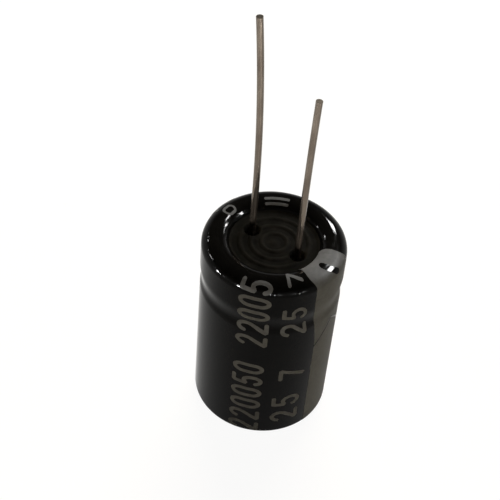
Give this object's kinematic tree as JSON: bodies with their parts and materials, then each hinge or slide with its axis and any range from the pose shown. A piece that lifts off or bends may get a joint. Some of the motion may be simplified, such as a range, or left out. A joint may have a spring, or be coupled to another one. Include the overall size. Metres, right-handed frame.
{
  "type": "electrolytic capacitor",
  "caption": "Radial electrolytic capacitor in a black printed sleeve, with a beaded can, a ringed rubber seal and two wire leads of unequal length.",
  "frame": {"origin": "centre of the closed end, on the surface the capacitor stands on", "axes": "+Z along the can from its closed end to the leads, +X from the positive lead to the negative lead, so the printed stripe is at +X"},
  "size_m": [0.0132, 0.0132, 0.0424],
  "materials": {
    "sleeve_film": "gloss",
    "can_metal": "satin",
    "seal_rubber": "semi-matte",
    "lead_wire": "tinned, satin",
    "tab_metal": "satin",
    "wound_paper": "matte",
    "tape": "satin"
  },
  "bodies": {
    "root": {"sleeve": "sleeve_film", "can": "can_metal", "end_seal": "seal_rubber", "positive_lead": "lead_wire", "negative_lead": "lead_wire", "positive_tab": "tab_metal", "negative_tab": "tab_metal", "winding": "wound_paper", "element_tape": "tape"}
  },
  "joints": []
}
